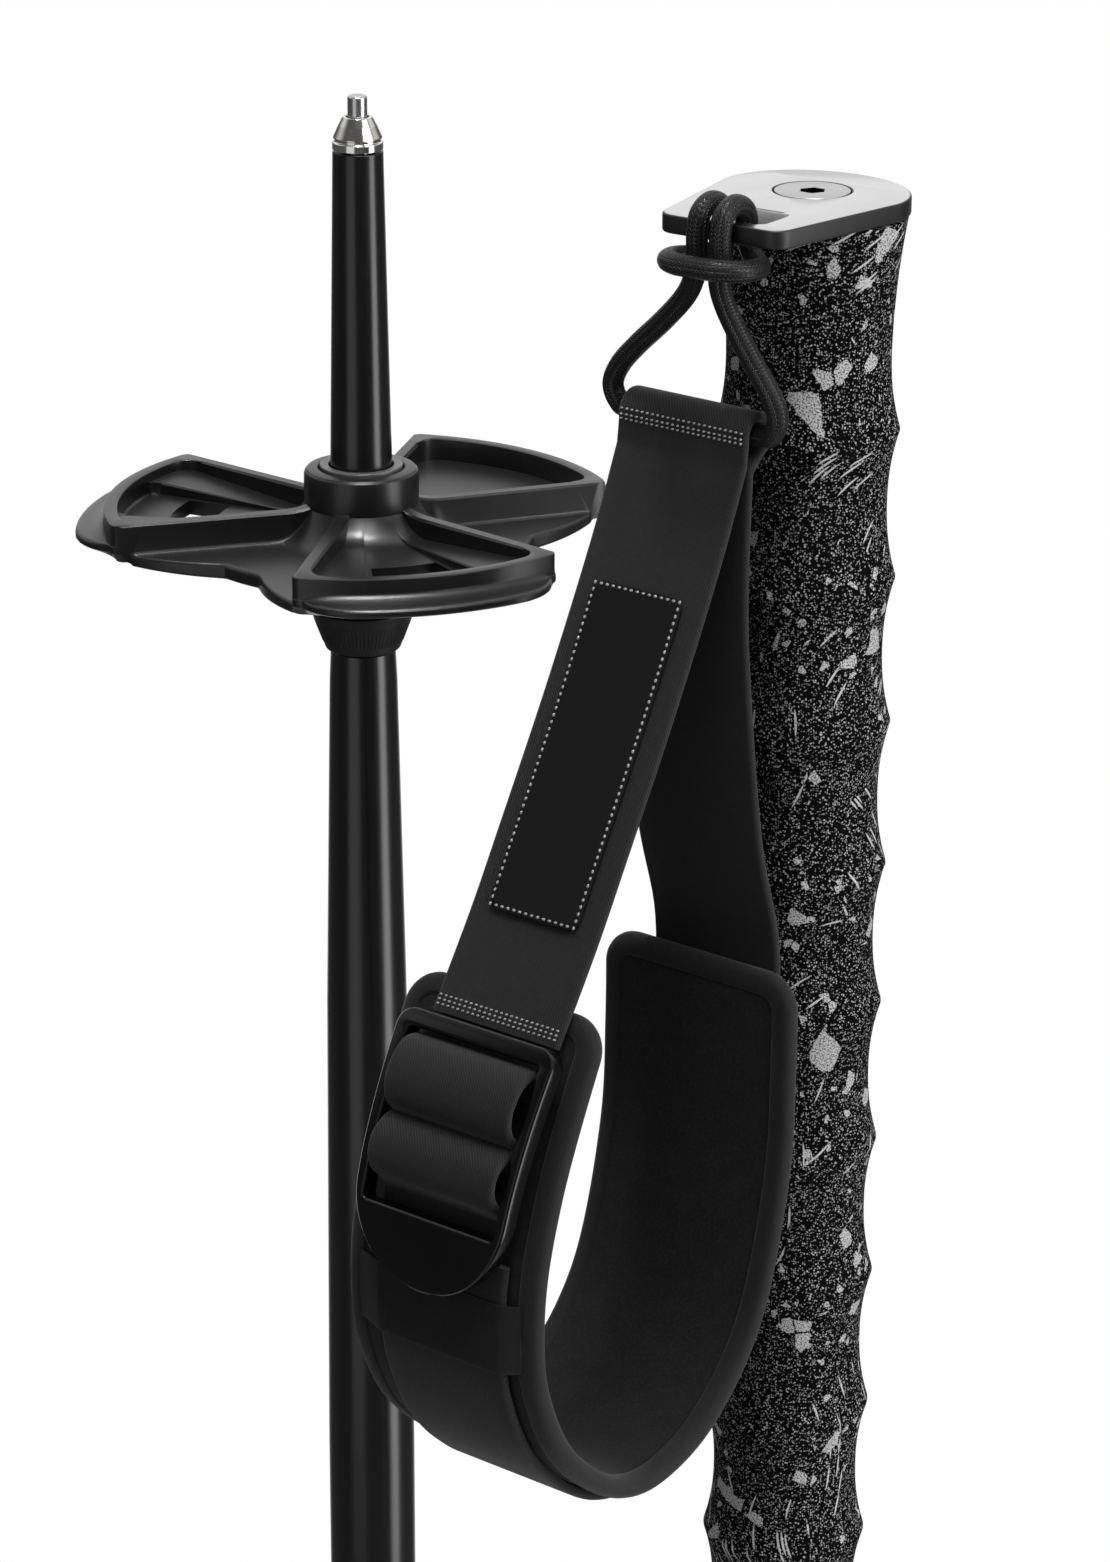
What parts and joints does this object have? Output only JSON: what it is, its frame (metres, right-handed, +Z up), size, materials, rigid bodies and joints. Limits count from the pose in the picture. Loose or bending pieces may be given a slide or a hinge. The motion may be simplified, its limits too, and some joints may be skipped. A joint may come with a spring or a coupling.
{
  "type": "pair of ski poles",
  "caption": "Pair of ski poles, one grip up and one tip up, with speckled foam grips, cord-hung padded wrist straps, ladder-lock buckles and petal baskets.",
  "frame": {"origin": "on the right pole's axis, in the middle of the upper handhold, 60 mm below its top plate", "axes": "+Z up along the right pole's shaft, -Y towards the wrist strap's side, X along the bar that the strap's cord loops over"},
  "size_m": [0.2006, 0.1584, 1.4047],
  "materials": {
    "foam": "matte speckled foam",
    "plate": "satin anodised",
    "bolt": "satin",
    "plug": "as machined",
    "shaft": "satin black lacquer",
    "sleeve": "satin black",
    "ferrule": "polished",
    "pin": "ground",
    "basket": "satin moulded",
    "ring": "satin",
    "collar": "moulded ribs",
    "cord": "braided",
    "webbing": "twill",
    "label": "woven, bare",
    "pad": "fine knit over foam",
    "keeper": "elastic",
    "buckle": "satin moulded"
  },
  "bodies": {
    "right_pole": {"right_grip_foam": "foam", "right_top_plate": "plate", "right_plate_bolt": "bolt", "right_shaft_plug": "plug", "right_shaft": "shaft", "right_tip_sleeve": "sleeve", "right_tip_ferrule": "ferrule", "right_carbide_pin": "pin", "right_basket_ring": "ring", "right_lock_collar": "collar"},
    "right_cord_loop": {"right_wrist_cord": "cord"},
    "right_strap": {"right_strap_webbing": "webbing", "right_strap_label": "label", "right_wrist_pad": "pad", "right_keeper_band": "keeper"},
    "right_buckle": {"right_ladder_buckle": "buckle", "right_buckle_webbing": "webbing"},
    "right_basket_body": {"right_basket": "basket"},
    "left_pole": {"left_grip_foam": "foam", "left_top_plate": "plate", "left_plate_bolt": "bolt", "left_shaft_plug": "plug", "left_shaft": "shaft", "left_tip_sleeve": "sleeve", "left_tip_ferrule": "ferrule", "left_carbide_pin": "pin", "left_basket_ring": "ring", "left_lock_collar": "collar"},
    "left_cord_loop": {"left_wrist_cord": "cord"},
    "left_strap": {"left_strap_webbing": "webbing", "left_strap_label": "label", "left_wrist_pad": "pad", "left_keeper_band": "keeper"},
    "left_buckle": {"left_ladder_buckle": "buckle", "left_buckle_webbing": "webbing"},
    "left_basket_body": {"left_basket": "basket"}
  },
  "joints": [
    {"name": "right_cord_swing", "type": "hinge", "parent": "right_pole", "child": "right_cord_loop", "pos_m": [0, -0.0256, 0.0585], "axis": [-1, 0, 0], "range_deg": [0, 110]},
    {"name": "right_strap_swing", "type": "hinge", "parent": "right_cord_loop", "child": "right_strap", "pos_m": [-0.00405, -0.02622, 0.0278], "axis": [-0.9976, 0.0698, 0], "range_deg": [0, 50]},
    {"name": "right_buckle_tilt", "type": "hinge", "parent": "right_strap", "child": "right_buckle", "pos_m": [-0.0075, -0.07552, -0.05805], "axis": [-0.9976, 0.0698, 0], "range_deg": [0, 30]},
    {"name": "right_basket_spin", "type": "hinge", "parent": "right_pole", "child": "right_basket_body", "pos_m": [0, 0, -1.066], "axis": [0, 0, 1], "continuous": true},
    {"name": "left_cord_swing", "type": "hinge", "parent": "left_pole", "child": "left_cord_loop", "pos_m": [-0.1006, -0.0106, -1.1385], "axis": [-1, 0, 0], "range_deg": [-20, 110]},
    {"name": "left_strap_swing", "type": "hinge", "parent": "left_cord_loop", "child": "left_strap", "pos_m": [-0.10465, -0.01122, -1.1692], "axis": [-0.9976, 0.0698, 0], "range_deg": [-40, 60]},
    {"name": "left_buckle_tilt", "type": "hinge", "parent": "left_strap", "child": "left_buckle", "pos_m": [-0.10614, -0.03249, -1.26594], "axis": [-0.9976, 0.0698, 0], "range_deg": [0, 30]},
    {"name": "left_basket_spin", "type": "hinge", "parent": "left_pole", "child": "left_basket_body", "pos_m": [-0.1006, 0.015, -0.014], "axis": [0, 0, 1], "continuous": true},
    {"name": "poles_apart", "type": "slide", "parent": "right_pole", "child": "left_pole", "axis": [-1, 0, 0], "range_m": [0, 0.15]}
  ]
}
